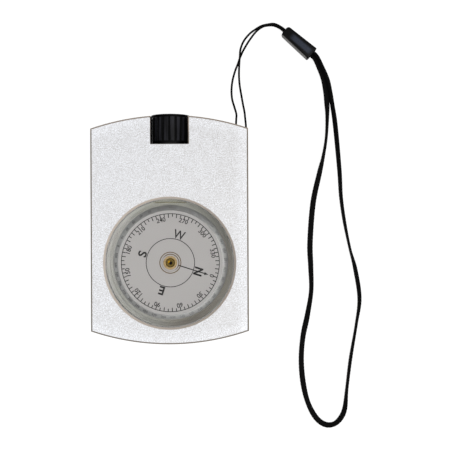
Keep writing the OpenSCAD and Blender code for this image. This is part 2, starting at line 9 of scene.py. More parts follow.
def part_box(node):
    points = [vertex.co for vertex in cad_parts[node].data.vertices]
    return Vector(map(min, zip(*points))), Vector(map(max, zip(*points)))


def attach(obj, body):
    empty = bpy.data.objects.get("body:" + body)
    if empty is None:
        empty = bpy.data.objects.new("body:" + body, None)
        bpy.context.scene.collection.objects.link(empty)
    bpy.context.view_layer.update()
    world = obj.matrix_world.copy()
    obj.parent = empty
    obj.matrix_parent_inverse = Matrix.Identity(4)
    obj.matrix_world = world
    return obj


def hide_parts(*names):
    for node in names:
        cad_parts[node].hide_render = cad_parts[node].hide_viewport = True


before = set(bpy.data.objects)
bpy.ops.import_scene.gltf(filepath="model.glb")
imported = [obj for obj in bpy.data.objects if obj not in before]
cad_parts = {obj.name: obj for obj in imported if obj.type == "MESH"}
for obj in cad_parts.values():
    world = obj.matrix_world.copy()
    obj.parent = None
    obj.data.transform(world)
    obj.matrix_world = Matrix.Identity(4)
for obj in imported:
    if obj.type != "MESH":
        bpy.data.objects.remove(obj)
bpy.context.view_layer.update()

# Lengths are in metres, unless a comment says millimetres. These places come from the frame
MM = 0.001
HAIR = 0.03 * MM
cover_low, cover_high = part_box("capsule_cover")
card_low, card_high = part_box("compass_card")
bead_low, bead_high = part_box("strap_bead")
pin_low, pin_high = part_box("lanyard_pin")
face_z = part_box("housing")[1].z
capsule_centre = (cover_low + cover_high) / 2
card_top = card_high.z
sight_z = (card_low.z + card_high.z) / 2


# Camera and lamp

SENSOR_IN_MM = 36.0
CAMERA_HEIGHT = 0.3
FRAME_WIDTH = 0.1479
CAMERA_FOOT = (0.01824, 0.00147)
CAMERA_TURN = math.radians(-0.26)
CLIP = (0.01, 20)
KEY_PLACE = Vector((0.28, -0.09, 0.62))
KEY_SIZE = 0.3
KEY_WATTS = 2.2


def set_camera():
    """Looks straight down on the block, a little to the right of its middle."""
    camera = bpy.data.cameras.new("camera")
    camera.sensor_width = SENSOR_IN_MM
    camera.lens = SENSOR_IN_MM * CAMERA_HEIGHT / FRAME_WIDTH
    camera.clip_start, camera.clip_end = CLIP
    seat = bpy.data.objects.new("camera", camera)
    bpy.context.scene.collection.objects.link(seat)
    seat.location = (*CAMERA_FOOT, face_z + CAMERA_HEIGHT)
    seat.rotation_euler = (0, 0, CAMERA_TURN)
    bpy.context.scene.camera = seat


def add_key_lamp():
    """A soft lamp that faces the block, and isn't seen through the clear pieces."""
    light = bpy.data.lights.new("key", "AREA")
    light.size = KEY_SIZE
    light.energy = KEY_WATTS
    lamp = bpy.data.objects.new("key", light)
    bpy.context.scene.collection.objects.link(lamp)
    lamp.location = KEY_PLACE
    lamp.rotation_euler = (-KEY_PLACE).to_track_quat("-Z", "Y").to_euler()
    lamp.visible_transmission = False


# Materials

class Field:
    """A number that changes over a surface. Arithmetic on it adds Math nodes."""

    def __init__(self, finish, socket):
        self.finish = finish
        self.socket = socket

    def combine(self, operation, first, second=0.0):
        """The result of a Math node."""
        settings = {"operation": operation}
        return self.finish.field("ShaderNodeMath", 0, settings, {0: first, 1: second})

    def __add__(self, other):
        return self.combine("ADD", self, other)

    __radd__ = __add__

    def __sub__(self, other):
        return self.combine("SUBTRACT", self, other)

    def __rsub__(self, other):
        return self.combine("SUBTRACT", other, self)

    def __mul__(self, other):
        return self.combine("MULTIPLY", self, other)

    def __abs__(self):
        return self.combine("ABSOLUTE", self)

    def above(self, limit):
        """1 over a limit, else 0."""
        return self.combine("GREATER_THAN", self, limit)

    def below(self, limit):
        """1 under a limit, else 0."""
        return self.combine("LESS_THAN", self, limit)

    def most(self, other):
        """The greater of two numbers."""
        return self.combine("MAXIMUM", self, other)

    def angle_over(self, other):
        """The angle in radians whose tangent is this number over another."""
        return self.combine("ARCTAN2", self, other)

    def cosine(self):
        """The cosine of an angle in radians."""
        return self.combine("COSINE", self)

    def swing(self, size):
        """How far the number is from 0.5, times a size."""
        return (self - 0.5) * size

    def smooth(self, start, end):
        """0 up to start, 1 from end, with a soft step between them."""
        sockets = {"Value": self, "From Min": start, "From Max": end}
        return self.finish.field("ShaderNodeMapRange", "Result",
                                 {"interpolation_type": "SMOOTHSTEP"}, sockets)

    def fade(self, start, end):
        """1 up to start, 0 from end, with a soft step between them."""
        return 1 - self.smooth(start, end)


class Finish:
    """One material, or the world, and the nodes that make it."""

    def __init__(self, name, world=None):
        self.owner = world or bpy.data.materials.new(name)
        self.owner.use_nodes = True
        self.tree = self.owner.node_tree
        self.tree.nodes.clear()

    def node(self, kind, settings=None, inputs=None):
        """Adds a node: its settings first, then the values or links of its sockets."""
        made = self.tree.nodes.new(kind)
        for name, value in (settings or {}).items():
            setattr(made, name, value)
        for name, value in (inputs or {}).items():
            if isinstance(value, Field):
                self.tree.links.new(value.socket, made.inputs[name])
            else:
                made.inputs[name].default_value = value
        return made

    def field(self, kind, output, settings=None, inputs=None):
        """Adds a node and gives one of its outputs."""
        return Field(self, self.node(kind, settings, inputs).outputs[output])

    def place(self, **mapping):
        """Where a point is on the object, in metres, scaled, turned or moved if asked."""
        here = self.field("ShaderNodeTexCoord", "Object")
        if not mapping:
            return here
        return self.field("ShaderNodeMapping", 0, None, {"Vector": here, **mapping})

    def from_capsule(self):
        """Where a point is from the foot of the capsule's axis."""
        return self.place(Location=(-capsule_centre.x, -capsule_centre.y, 0))

    def split(self, vector):
        """A vector's X, Y and Z."""
        outputs = self.node("ShaderNodeSeparateXYZ", None, {0: vector}).outputs
        return [Field(self, output) for output in outputs]

    def length(self, vector, axes):
        """A vector's length, measured only along the axes that have a 1."""
        flat = self.field("ShaderNodeVectorMath", 0, {"operation": "MULTIPLY"},
                          {0: vector, 1: axes})
        return self.field("ShaderNodeVectorMath", "Value", {"operation": "LENGTH"}, {0: flat})

    def from_axis(self, centre):
        """Distance from an upright axis through a point."""
        return self.length(self.place(Location=(-centre.x, -centre.y, 0)), (1, 1, 0))

    def facing_up(self):
        """How far the surface faces up, from -1 to 1."""
        return self.split(self.field("ShaderNodeTexCoord", "Normal"))[2]

    def noise(self, vector, grain, detail=2.0):
        """Soft noise around 0.5 with grains of a size in metres."""
        sockets = {"Vector": vector, "Scale": 1 / grain, "Detail": detail}
        return self.field("ShaderNodeTexNoise", 0, None, sockets)

    def rings(self, vector, rate, waver):
        """A lathe's tool marks, as rings round an upright axis."""
        settings = {"wave_type": "RINGS", "rings_direction": "Z"}
        sockets = {"Vector": vector, "Scale": rate, "Distortion": waver}
        return self.field("ShaderNodeTexWave", "Fac", settings, sockets)

    def blend(self, share, first, second):
        """A colour between two others."""
        sockets = {0: share, 6: first, 7: second}
        return self.field("ShaderNodeMix", 2, {"data_type": "RGBA", "clamp_factor": True}, sockets)

    def bump(self, height, depth, strength):
        """A normal from a height that goes from 0 to 1 over a depth in metres."""
        sockets = {"Height": height, "Distance": depth, "Strength": strength}
        return self.field("ShaderNodeBump", 0, None, sockets)

    def surface(self, **inputs):
        """The main shader. Underscores in a socket's name stand for spaces."""
        named = {key.replace("_", " "): value for key, value in inputs.items()}
        return self.field("ShaderNodeBsdfPrincipled", 0, {"distribution": "MULTI_GGX"}, named)

    def show(self, shader):
        """The material, with a shader on its surface."""
        self.node("ShaderNodeOutputMaterial", None, {"Surface": shader})
        return self.owner

    def done(self, **inputs):
        """The material, with the main shader on its surface."""
        return self.show(self.surface(**inputs))


def rgb(*levels):
    """A colour as seen on a screen, from 0 to 255, in the shaders' linear scale."""
    shares = [level / 255 for level in levels]
    return (*[share / 12.92 if share <= 0.04045 else ((share + 0.055) / 1.055) ** 2.4
              for share in shares], 1)


# Grains of the noises, and the rate and waver of a lathe's rings
FINE_GRAIN = 0.35 * MM
COARSE_GRAIN = 1.3 * MM
PIT_GRAIN = 0.16 * MM
SKIN_GRAIN = 0.25 * MM
INK_GRAIN = 0.12 * MM
METAL_CLOUD = 14 * MM
PLASTIC_CLOUD = 5 * MM
COARSE_TURNING = (400.0, 0.6)
FINE_TURNING = (2600.0, 0.8)

# The block: how far bevels face up, its notch and bore mouth, its paler margins, and the slope of
# the painted shade across its face
BEVEL_STARTS = (0.3, 0.45)
BEVEL_ENDS = (0.85, 0.95)
NOTCH_HALF = 6.2 * MM
NOTCH_FLOOR = 28.25 * MM
NOTCH_RIM = 0.22 * MM
NOTCH_RIM_SHIFT = 0.13 * MM
MOUTH_REACH = 23 * MM
EYEPIECE_END = (31 * MM, 34 * MM)
END_MARGIN = (33 * MM, 37 * MM)
END_BOW = 7.4
SIDE_MARGIN = (20.5 * MM, 25.5 * MM)
LIGHT_FALL = 3.4


def blasted_aluminium():
    """Bead-blasted block: sparkling grain, darker milled bevels, painted shade darker towards +X,
    and notch walls painted black as shade.
    """
    finish = Finish("block_aluminium")
    here = finish.place()
    x, y, _ = finish.split(here)
    level = abs(finish.facing_up())
    bevel = level.smooth(*BEVEL_STARTS) * level.fade(*BEVEL_ENDS)
    mouth = finish.from_axis(capsule_centre).below(MOUTH_REACH)
    past_floor = y.above(NOTCH_FLOOR - HAIR)
    # Painted shade: the notch walls are near-black, for the shadow and dark reflection of the
    # barrel beside them
    notch_shade = level.below(BEVEL_STARTS[0]) * abs(x).below(NOTCH_HALF + HAIR) * past_floor
    notch_rim = (level.above(BEVEL_ENDS[1]) * past_floor
                 * abs(x - NOTCH_RIM_SHIFT).below(NOTCH_HALF + NOTCH_RIM))
    fine = finish.noise(here, FINE_GRAIN, 1.0)
    coarse = finish.noise(here, COARSE_GRAIN)
    cloud = finish.noise(here, METAL_CLOUD)
    bowed = abs(y) + x * x * END_BOW
    margin = bowed.smooth(*END_MARGIN) * 0.1 + x.smooth(*SIDE_MARGIN) * 0.12
    # Painted shade: the face's colour darkens towards +X, where the lamp and sky light it more
    margins_and_shade = margin - x * LIGHT_FALL - 0.04
    speckle = fine.swing(1.5) + coarse.swing(0.25) + cloud.swing(0.12) + margins_and_shade + 0.5
    blasted = finish.blend(speckle, rgb(181, 179, 177), rgb(246, 248, 252))
    dull = finish.blend(coarse, rgb(114, 106, 98), rgb(134, 126, 117))
    outer = finish.blend(y.smooth(*EYEPIECE_END), dull, rgb(150, 138, 127))
    inner = finish.blend(coarse, rgb(184, 174, 163), rgb(196, 185, 174))
    milled = finish.blend(mouth, outer, inner)
    metal = finish.blend(bevel.most(notch_rim), blasted, milled)
    pits = finish.noise(here, PIT_GRAIN, 1.0) * (1 - bevel)
    return finish.done(Base_Color=finish.blend(notch_shade, metal, rgb(12, 12, 12)),
                       Metallic=1 - bevel * (mouth * 0.3 + 0.5),
                       Roughness=fine.swing(0.2) + 0.66 + cloud.swing(0.06) - bevel * 0.3,
                       Normal=finish.bump(pits, 0.012 * MM, 0.6))


def satin_sheet():
    """Back plate: sheet metal brushed along the block's width."""
    finish = Finish("plate_aluminium")
    streaks = finish.noise(finish.place(Scale=(0.02, 1, 1)), 0.12 * MM, 3.0)
    cloud = finish.noise(finish.place(), METAL_CLOUD)
    colour = finish.blend(streaks * 0.7 + cloud * 0.3, rgb(186, 188, 192), rgb(226, 228, 231))
    return finish.done(Base_Color=colour, Metallic=1.0,
                       Roughness=streaks.swing(0.2) + 0.3 + cloud.swing(0.1),
                       Normal=finish.bump(streaks, 0.006 * MM, 0.5))


def black_anodised():
    """Retaining ring: dark anodised turning with fine concentric tool marks."""
    finish = Finish("ring_aluminium")
    here = finish.from_capsule()
    marks = finish.rings(here, *COARSE_TURNING)
    colour = finish.blend(finish.noise(here, 3 * MM), rgb(34, 34, 36), rgb(58, 58, 61))
    return finish.done(Base_Color=colour, Metallic=0.7, Roughness=marks.swing(0.1) + 0.42,
                       Normal=finish.bump(marks, 0.01 * MM, 0.4))


def turned_brass(name, light, dark, rough):
    """Lathe-turned brass with rings of tool marks and a little tarnish."""
    finish = Finish(name)
    here = finish.from_capsule()
    marks = finish.rings(here, *FINE_TURNING)
    tarnish = finish.noise(here, 0.9 * MM, 3.0)
    return finish.done(Base_Color=finish.blend(tarnish.smooth(0.35, 0.9), light, dark),
                       Metallic=1.0, Roughness=marks.swing(0.12) + rough,
                       Normal=finish.bump(marks, 0.004 * MM, 0.5))


HUB_RIM = (1.55 * MM, 1.67 * MM)
HUB_GROOVE_RADIUS = 1.36 * MM
HUB_GROOVE_HALF = (0.05 * MM, 0.2 * MM)


def hub_brass():
    """The card's hub: a bright turned rim round a sunk middle painted dark olive as the shade of
    its recess, with a darker painted-shade ring near the recess's edge.
    """
    finish = Finish("hub_brass")
    away = finish.from_axis(capsule_centre)
    here = finish.from_capsule()
    marks = finish.rings(here, *FINE_TURNING)
    tarnish = finish.noise(here, 0.6 * MM, 3.0)
    bright = finish.blend(tarnish.smooth(0.35, 0.9), rgb(170, 148, 110), rgb(116, 90, 50))
    # Painted shade: the sunk middle is dark olive and the ring at its edge darker, for the shade
    # of the recess
    olive = finish.blend(tarnish, rgb(112, 94, 46), rgb(92, 74, 30))
    groove_shade = abs(away - HUB_GROOVE_RADIUS).fade(*HUB_GROOVE_HALF)
    sunk_shade = finish.blend(groove_shade, olive, rgb(66, 48, 20))
    return finish.done(Base_Color=finish.blend(away.smooth(*HUB_RIM), sunk_shade, bright),
                       Metallic=1.0, Roughness=marks.swing(0.12) + 0.38,
                       Normal=finish.bump(marks, 0.004 * MM, 0.5))


JEWEL_HOLLOW = Vector((0.12, -0.1, 0)) * MM
JEWEL_DARK = (0.46 * MM, 0.68 * MM)
JEWEL_RIM = (0.42 * MM, 0.6 * MM)
JEWEL_PATCH = Vector((-0.4, 0.3, 0)) * MM
JEWEL_LIT = (0.2 * MM, 0.5 * MM)


def amber_jewel():
    """The hub's jewel: painted shade over its hollow, and one painted amber highlight."""
    finish = Finish("jewel_amber")
    hollow = finish.from_axis(capsule_centre + JEWEL_HOLLOW)
    patch = finish.from_axis(capsule_centre + JEWEL_PATCH)
    stain = finish.noise(finish.place(), 0.3 * MM)
    body = finish.blend(stain, rgb(104, 84, 34), rgb(80, 62, 16))
    # Painted shade: near-black over the jewel's hollow
    dark = finish.blend(hollow.fade(*JEWEL_DARK), body, rgb(2, 1, 0))
    # Painted highlight: a lit amber patch to one side of the hollow
    painted_glint = patch.fade(*JEWEL_LIT) * hollow.smooth(*JEWEL_RIM)
    return finish.done(Base_Color=finish.blend(painted_glint, dark, rgb(186, 140, 14)),
                       Roughness=stain.swing(0.2) + 0.4, Specular_IOR_Level=0.03)


def ground_steel(name, light, dark):
    """Ground steel with streaks along its height."""
    finish = Finish(name)
    streaks = finish.noise(finish.place(Scale=(1, 1, 0.05)), 0.06 * MM)
    stain = finish.noise(finish.place(), 0.8 * MM)
    return finish.done(Base_Color=finish.blend(streaks * 0.6 + stain * 0.4, dark, light),
                       Metallic=1.0, Roughness=stain.swing(0.2) + 0.28,
                       Normal=finish.bump(streaks, 0.003 * MM, 0.5))


def moulded_plastic(name, light, dark, rough):
    """Moulded plastic with a fine spark-eroded grain and a slight unevenness."""
    finish = Finish(name)
    here = finish.place()
    skin = finish.noise(here, SKIN_GRAIN)
    tone = finish.noise(here, PLASTIC_CLOUD) * 0.6 + skin * 0.4
    return finish.done(Base_Color=finish.blend(tone, dark, light), Specular_IOR_Level=0.5,
                       Roughness=skin.swing(0.15) + rough,
                       Normal=finish.bump(skin, 0.01 * MM, 0.6))


# Where the painted shade and painted warm reflection on the white parts under the cover change,
# right and up from the capsule's axis
SIDE_TONE_TURNS = (-16 * MM, 12 * MM)
WARM_TURNS = (-10 * MM, 6 * MM)
UPPER_SHADE_TURNS = (9 * MM, 19 * MM)
FOOT_TURNS = (7 * MM, 19 * MM)
UP_SLANT = 0.3


def yellowed(name, rough, shine, grey_turns):
    """White moulding or rubber under the cover, with painted light: a warm painted reflection on
    its shaded right side, and painted shade dim at its foot and grey at its top.
    """
    finish = Finish(name)
    here = finish.place()
    right, y, _ = finish.split(finish.from_capsule())
    up = y + right * UP_SLANT
    skin = finish.noise(here, SKIN_GRAIN)
    cloud = finish.noise(here, PLASTIC_CLOUD)
    # Painted reflection: a warm tint on the right, where the bore's wall reflects onto the shaded
    # plastic
    warm = right.smooth(*WARM_TURNS)
    side_tone = finish.blend(right.smooth(*SIDE_TONE_TURNS), rgb(234, 233, 230), rgb(236, 230, 218))
    pale = finish.blend(warm, rgb(216, 219, 216), rgb(222, 214, 202))
    dim = finish.blend(warm, rgb(196, 197, 193), rgb(200, 193, 182))
    # Painted shade: darker upwards, dim at the foot, and greyest at the top
    upper_shade = finish.blend(up.smooth(*UPPER_SHADE_TURNS), side_tone, pale)
    foot = finish.blend((0 - up).smooth(*FOOT_TURNS), upper_shade, dim)
    grey = finish.blend(up.smooth(*grey_turns), foot, rgb(197, 197, 189))
    colour = finish.blend(cloud * 0.2 + skin * 0.1, grey, rgb(204, 202, 194))
    return finish.done(Base_Color=colour, Roughness=skin.swing(0.15) + rough,
                       Specular_IOR_Level=shine, Normal=finish.bump(skin, 0.01 * MM, 0.6))


RIB_COUNT = 18
RIBS_START = 29.55 * MM
RIBS_END = 37.45 * MM
RIB_CRESTS = (5.75 * MM, 6.03 * MM)
RIB_WAVE = (0.6, -0.8)
GLINT_END = (28.5 * MM, 28.8 * MM)
GLINT_HALF = (0.8 * MM, 3.4 * MM)


def ribbed_plastic():
    """Eyepiece: black moulding with worn satin rib tops and a dull collar; painted light on the
    sideways faces and mid-rib crests, painted shade in the grooves, and a painted glint at the
    collar's foot.
    """
    finish = Finish("barrel_plastic")
    here = finish.place(Location=(0, 0, -sight_z))
    x, y, z = finish.split(here)
    ribs = y.above(RIBS_START) * y.below(RIBS_END)
    # Rib tops are lighter and satin-coated; the dark grooves between them are painted shade
    lighter_share = finish.length(here, (1, 0, 1)).smooth(*RIB_CRESTS) * ribs
    skin = finish.noise(here, SKIN_GRAIN)
    cloud = finish.noise(here, 4 * MM)
    streak = finish.noise(finish.place(Scale=(1, 0.06, 1)), 0.7 * MM, 1.0)
    # Painted light: faces turned sideways and the middle of each rib are coloured lighter
    side = 1 - abs(finish.facing_up())
    crest_highlight = (x.angle_over(z) * RIB_COUNT).cosine().smooth(*RIB_WAVE)
    painted_rib_light = (side * 1.1 + 0.36) * (crest_highlight * 0.75 + 0.25) + streak.swing(1.6)
    tone = lighter_share * painted_rib_light + cloud.swing(0.3) + skin.swing(0.2)
    dull = finish.blend(tone, rgb(1, 1, 1), rgb(42, 42, 47))
    # Painted highlight: a grey glint at the foot of the collar
    glint = y.fade(*GLINT_END) * abs(x).fade(*GLINT_HALF)
    return finish.done(Base_Color=finish.blend(glint, dull, rgb(64, 61, 58)),
                       Roughness=skin.swing(0.12) + 0.5, Specular_IOR_Level=0.06,
                       Coat_Weight=lighter_share * 0.08, Coat_Roughness=0.35,
                       Normal=finish.bump(skin, 0.008 * MM, 0.5))


def rubber(name, dark, bloomed):
    """Matt rubber with a dusty bloom."""
    finish = Finish(name)
    here = finish.place()
    bloom = finish.noise(here, 0.7 * MM, 3.0)
    return finish.done(Base_Color=finish.blend(bloom.smooth(0.45, 0.8), dark, bloomed),
                       Roughness=bloom.swing(0.2) + 0.75, Specular_IOR_Level=0.35,
                       Normal=finish.bump(finish.noise(here, 0.12 * MM), 0.01 * MM, 0.5))


CARD_GREY = rgb(169, 166, 166)
CARD_PALE = rgb(175, 173, 173)
CARD_PALE_FROM = (15.4 * MM, 17.2 * MM)
SKIRT_FROM = (17.38 * MM, 17.45 * MM)
SKIRT_LEFT = rgb(208, 208, 209)
SKIRT_RIGHT = rgb(245, 245, 245)
SKIRT_SIDES = (-18 * MM, 14 * MM)
SKIRT_TOP = rgb(188, 188, 189)
SKIRT_TOP_FROM = (6 * MM, 16 * MM)


def printed_card():
    """The card: matt disc, paler past the scale, with a white skirt that has painted shade on its
    left and its top.
    """
    finish = Finish("card_plastic")
    here = finish.place()
    away = finish.from_axis(capsule_centre)
    fibre = finish.noise(here, 0.2 * MM)
    cloud = finish.noise(here, 7 * MM)
    tone = fibre * 0.15 + cloud * 0.35 + away.smooth(*CARD_PALE_FROM) * 0.5
    face = finish.blend(tone, CARD_GREY, CARD_PALE)
    right, up, _ = finish.split(finish.from_capsule())
    # Painted shade: the skirt is greyer on its left, away from the lamp, and at its top
    sides = finish.blend(right.smooth(*SKIRT_SIDES), SKIRT_LEFT, SKIRT_RIGHT)
    skirt = finish.blend(up.smooth(*SKIRT_TOP_FROM), sides, SKIRT_TOP)
    return finish.done(Base_Color=finish.blend(away.smooth(*SKIRT_FROM), face, skirt),
                       Roughness=fibre.swing(0.1) + 0.62, Specular_IOR_Level=0.35,
                       Normal=finish.bump(fibre, 0.008 * MM, 0.4))


THIN_INK_GAIN = 1.6
THIN_INK_LIFT = 0.004
INK_RIGHT_TURNS = (-14 * MM, 4 * MM)


def print_ink(name, shade, right_tone=None):
    """Screen-printed ink, thinner in places, and blended towards the right into another colour if
    given.
    """
    finish = Finish(name)
    here = finish.place()
    grain = finish.noise(here, INK_GRAIN)
    patch = finish.noise(here, 2.5 * MM)
    thin = (*[value * THIN_INK_GAIN + THIN_INK_LIFT for value in shade[:3]], 1)
    colour = finish.blend(grain * 0.5 + patch * 0.5, shade, thin)
    if right_tone is not None:
        right = finish.split(finish.from_capsule())[0]
        colour = finish.blend(right.smooth(*INK_RIGHT_TURNS), colour, right_tone)
    return finish.done(Base_Color=colour, Roughness=grain.swing(0.2) + 0.5,
                       Specular_IOR_Level=0.4)


HUB_CIRCLES = (2.84 * MM, 3.5 * MM)
HUB_CIRCLES_MIDDLE = 3.15 * MM
FAINT_TURNS = (-1.5 * MM, 1.5 * MM)


def worn_ink():
    """Brown ink of the two circles round the hub, the inner one blended into the card's grey on
    one side.
    """
    finish = Finish("brown_ink")
    here = finish.from_capsule()
    grain = finish.noise(here, INK_GRAIN)
    inner = finish.from_axis(capsule_centre).below(HUB_CIRCLES_MIDDLE)
    x, y, _ = finish.split(here)
    lighter_share = inner * (x + y).fade(*FAINT_TURNS) * 0.75
    brown = finish.blend(grain, rgb(84, 64, 32), rgb(108, 88, 56))
    return finish.done(Base_Color=finish.blend(lighter_share, brown, CARD_GREY),
                       Roughness=grain.swing(0.2) + 0.5, Specular_IOR_Level=0.4)


FACET_FROM_CENTRE = 20.2 * MM
FACET_HALF = 5.4 * MM
FACET_EDGE = (-0.3 * MM, 0.04 * MM)
FACET_EDGE_SHADE = (0.62, 0.6, 0.47, 1)
CAVITY_RADIUS = 19.6 * MM
CAVITY_TOP = 13.1 * MM
SCRATCH_TURN = 0.7
SCRATCH_SPACING = 2.2 * MM


def inside_capsule(finish):
    """1 on the cover's inner faces, where liquid of nearly the same index meets it."""
    height = finish.split(finish.place())[2]
    return (finish.from_axis(capsule_centre).below(CAVITY_RADIUS + HAIR)
            * height.below(CAVITY_TOP + HAIR))


def facet_edge(finish):
    """1 along the edge where the flat facet meets the cover's top."""
    across, out, _ = finish.split(finish.from_capsule())
    return (out.above(FACET_FROM_CENTRE + FACET_EDGE[0])
            * out.below(FACET_FROM_CENTRE + FACET_EDGE[1]) * abs(across).below(FACET_HALF))


def clear_block(name, tint, index, inside=None, scratches=0.0, dark_edge=None):
    """Clear moulding: glass to the view, and plain clear to shadows and soft light."""
    finish = Finish(name)
    ripple = finish.noise(finish.place(), 6 * MM, 1.0)
    drawn_out = finish.place(Scale=(1, 0.06, 1), Rotation=(0, 0, SCRATCH_TURN))
    wear = finish.field("ShaderNodeTexVoronoi", "Distance", {"feature": "F1"},
                        {"Vector": drawn_out, "Scale": 1 / SCRATCH_SPACING})
    # Painted shade: where an edge mask is given, the tint turns dark olive along it, for the dark
    # line that the facet's inner reflection shows
    shade = tint if dark_edge is None else finish.blend(dark_edge(finish), tint, FACET_EDGE_SHADE)
    glass = finish.surface(Base_Color=shade, Roughness=wear.fade(0.0, 0.08) * scratches + 0.015,
                           IOR=index, Transmission_Weight=1.0,
                           Normal=finish.bump(ripple, 0.01 * MM, 0.25))
    open_share = finish.field("ShaderNodeLightPath", "Is Shadow Ray").most(
        finish.field("ShaderNodeLightPath", "Is Diffuse Ray"))
    if inside is not None:
        open_share = open_share.most(inside(finish))
    clear = finish.field("ShaderNodeBsdfTransparent", 0, None, {"Color": tint})
    return finish.show(
        finish.field("ShaderNodeMixShader", 0, None, {0: open_share, 1: glass, 2: clear}))


def braided_nylon(name, light, fibre_size):
    """Black nylon: fibres that follow the cord's own map, with a dull sheen."""
    finish = Finish(name)
    drawn = finish.field("ShaderNodeUVMap", 0, {"uv_map": "route"})
    stretched = finish.field("ShaderNodeMapping", 0, None,
                             {"Vector": drawn, "Scale": (1, 0.25, 1)})
    fibre = finish.noise(stretched, fibre_size, 3.0)
    tone = fibre * 0.7 + finish.noise(finish.place(), 0.3 * MM) * 0.3
    return finish.done(Base_Color=finish.blend(tone, rgb(1, 1, 1), light),
                       Roughness=fibre.swing(0.2) + 0.7, Specular_IOR_Level=0.05,
                       Sheen_Weight=0.01, Sheen_Roughness=0.5,
                       Normal=finish.bump(fibre, 0.03 * MM, 0.7))


# Floor and sky

FLOOR_SIZE = 4.0
FLOOR_DROP = 0.02 * MM
FLOOR_SHADES = ((0.15, 0.15, 0.15, 1), (0.17, 0.17, 0.17, 1))
FLOOR_GLOW = 0.91
SKY_LOW = ((0.1, 0.097, 0.094, 1), (0.7, 0.69, 0.67, 1))
SKY_LOW_TURNS = (-0.7, 1.0)
SKY_HIGH = ((1.2, 1.2, 1.21, 1), (0.85, 0.855, 0.865, 1))
SKY_HIGH_TURNS = (-0.45, 0.35)
SKY_RISE = (0.3, 0.9)
SKY_SLANT = 0.3
OPENING = (0.25, 0.25, 0.25, 1)
OPENING_EDGE = (0.975, 0.986)


def floor_paper():
    """Plain white paper for the floor."""
    finish = Finish("floor_paper")
    fibre = finish.noise(finish.place(), 1.5 * MM)
    return finish.done(Base_Color=finish.blend(fibre, *FLOOR_SHADES), Roughness=0.9,
                       Specular_IOR_Level=0.0, Emission_Color=(1, 1, 1, 1),
                       Emission_Strength=FLOOR_GLOW)


def set_studio():
    """White floor, a pale sky with a grey opening overhead for the camera, and one soft lamp."""
    bpy.ops.mesh.primitive_plane_add(size=FLOOR_SIZE, location=(0, 0, -FLOOR_DROP))
    floor = bpy.context.object
    floor.name = "floor"
    floor.data.materials.append(floor_paper())

    world = bpy.data.worlds.new("studio")
    bpy.context.scene.world = world
    sky = Finish("studio", world)
    x, y, height = sky.split(sky.field("ShaderNodeTexCoord", "Generated"))
    across = x - y * SKY_SLANT
    low = sky.blend(across.smooth(*SKY_LOW_TURNS), *SKY_LOW)
    high = sky.blend(across.smooth(*SKY_HIGH_TURNS), *SKY_HIGH)
    dome = sky.blend(height.smooth(*SKY_RISE), low, high)
    colour = sky.blend(height.smooth(*OPENING_EDGE), dome, OPENING)
    glow = sky.field("ShaderNodeBackground", 0, None, {"Color": colour, "Strength": 1.0})
    sky.node("ShaderNodeOutputWorld", None, {"Surface": glow})

    add_key_lamp()
    bpy.context.scene.view_settings.view_transform = "Standard"


# Modelling helpers

WELD = 1e-7


def clear_selection():
    """Leaves editing and selects nothing."""
    if bpy.context.object and bpy.context.object.mode != "OBJECT":
        bpy.ops.object.mode_set(mode="OBJECT")
    bpy.ops.object.select_all(action="DESELECT")


def take(piece):
    """Makes one piece the only selected and active one."""
    clear_selection()
    piece.select_set(True)
    bpy.context.view_layer.objects.active = piece


def edit_all(piece):
    """Opens a piece for editing, with all of it selected."""
    take(piece)
    bpy.ops.object.mode_set(mode="EDIT")
    bpy.ops.mesh.select_all(action="SELECT")


def face_outwards():
    """Turns all faces of the piece being edited outwards, and leaves editing."""
    bpy.ops.mesh.select_all(action="SELECT")
    bpy.ops.mesh.normals_make_consistent(inside=False)
    bpy.ops.object.mode_set(mode="OBJECT")


def settle(piece, name, finish, body):
    """Names a finished piece, puts its place into its mesh and lets it ride on a body."""
    take(piece)
    bpy.ops.object.transform_apply(location=True, rotation=True, scale=True)
    piece.name = name
    piece.data.name = name
    piece.data.materials.clear()
    piece.data.materials.append(finish)
    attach(piece, body)


def new_piece(points, faces):
    """A mesh piece from points and faces."""
    mesh = bpy.data.meshes.new("piece")
    mesh.from_pydata(points, [], faces)
    piece = bpy.data.objects.new("piece", mesh)
    bpy.context.scene.collection.objects.link(piece)
    return piece


def joined(parts):
    """Several meshes as one piece."""
    clear_selection()
    for part in parts:
        part.select_set(True)
    bpy.context.view_layer.objects.active = parts[0]
    bpy.ops.object.join()
    return bpy.context.object


# Cords. Their routes are those of the frame: x, y and height in millimetres, and the flat side's
# turn in degrees. The sizes that follow are in millimetres too

BEAD = Vector((43.6, 63.9))
BEAD_TURN = -40.9
BEAD_LENGTH = 12.5
BEAD_MIDDLE = 1.8
MOUTH_DEPTH = 1.0
STRING_WIDTH = 0.68
STRING_PITCH = 0.65
STRING_BEND = 1.8
STRING_BEND_HEIGHT = 4.3
CORD_WIDTH = 1.9
CORD_THICKNESS = 0.92
CORD_PITCH = 1.15
CORD_LEAD = 1.5
CORD_LEAD_TURN = 50


def on_bead(along, across, turn=0):
    """A point on the bead's own axes, in millimetres, at its middle height."""
    angle = math.radians(BEAD_TURN)
    x = BEAD.x + along * math.cos(angle) - across * math.sin(angle)
    y = BEAD.y + along * math.sin(angle) + across * math.cos(angle)
    return (x, y, BEAD_MIDDLE, turn)


